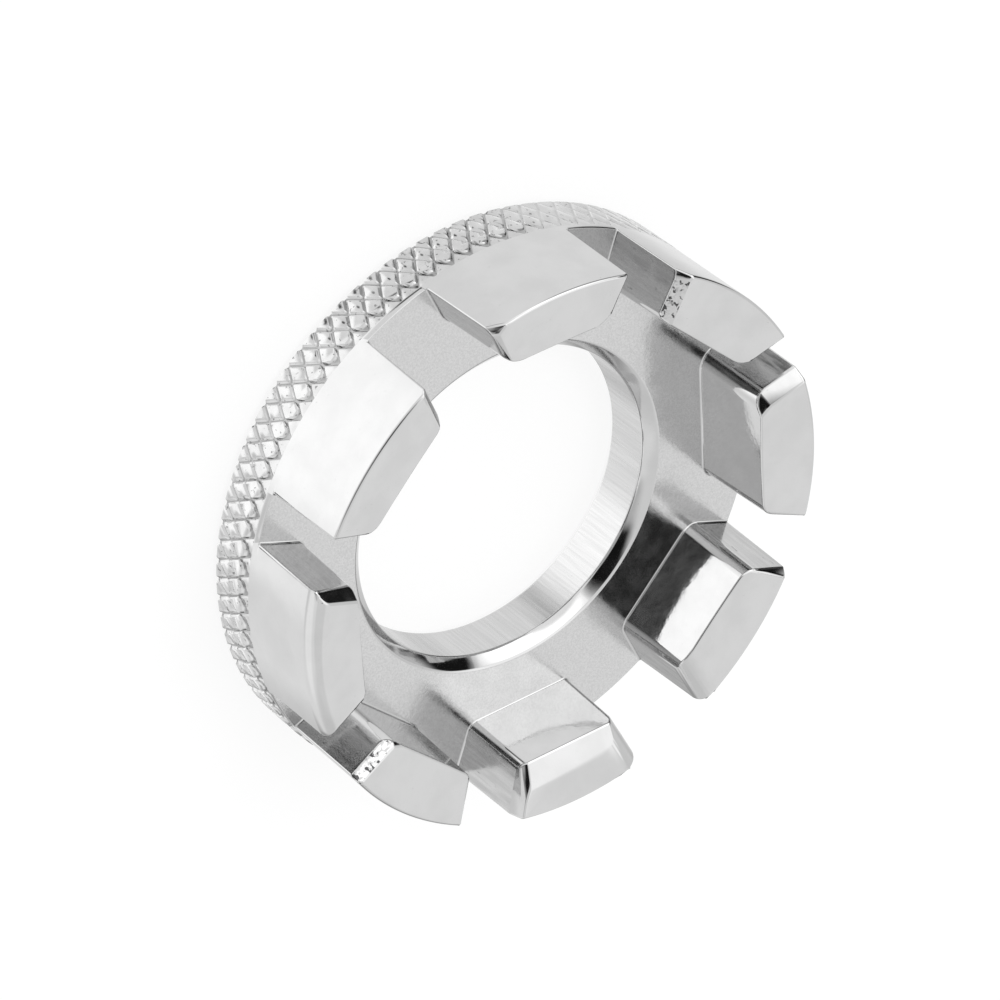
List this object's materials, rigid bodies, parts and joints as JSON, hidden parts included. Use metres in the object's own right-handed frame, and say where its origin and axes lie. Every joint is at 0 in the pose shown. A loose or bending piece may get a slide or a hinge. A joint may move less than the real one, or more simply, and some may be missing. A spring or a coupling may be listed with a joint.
{
  "type": "spoke wrench",
  "caption": "Round crown-type spoke wrench: a knurled ring whose jaws stand up round a central hole, with slots of several widths between them for turning bicycle spoke nipples.",
  "frame": {"origin": "centre of the flat back face", "axes": "+Z along the ring's axis, from the back face towards the slots' mouths; +X along the middle of slot 1; slots and jaws numbered counter-clockwise seen from +Z"},
  "size_m": [0.04, 0.04, 0.0112],
  "materials": {
    "plated_ring": "satin bright plate over a blasted steel surface, turned bore",
    "plated_knurl": "bright plate over diamond knurling",
    "plated_jaw": "bright plate, polished outer and end faces, drawn marks on the slot walls"
  },
  "bodies": {
    "root": {"ring": "plated_ring", "knurled_band": "plated_knurl", "jaw_1": "plated_jaw", "jaw_2": "plated_jaw", "jaw_3": "plated_jaw", "jaw_4": "plated_jaw", "jaw_5": "plated_jaw", "jaw_6": "plated_jaw", "jaw_7": "plated_jaw", "jaw_8": "plated_jaw"}
  },
  "joints": []
}
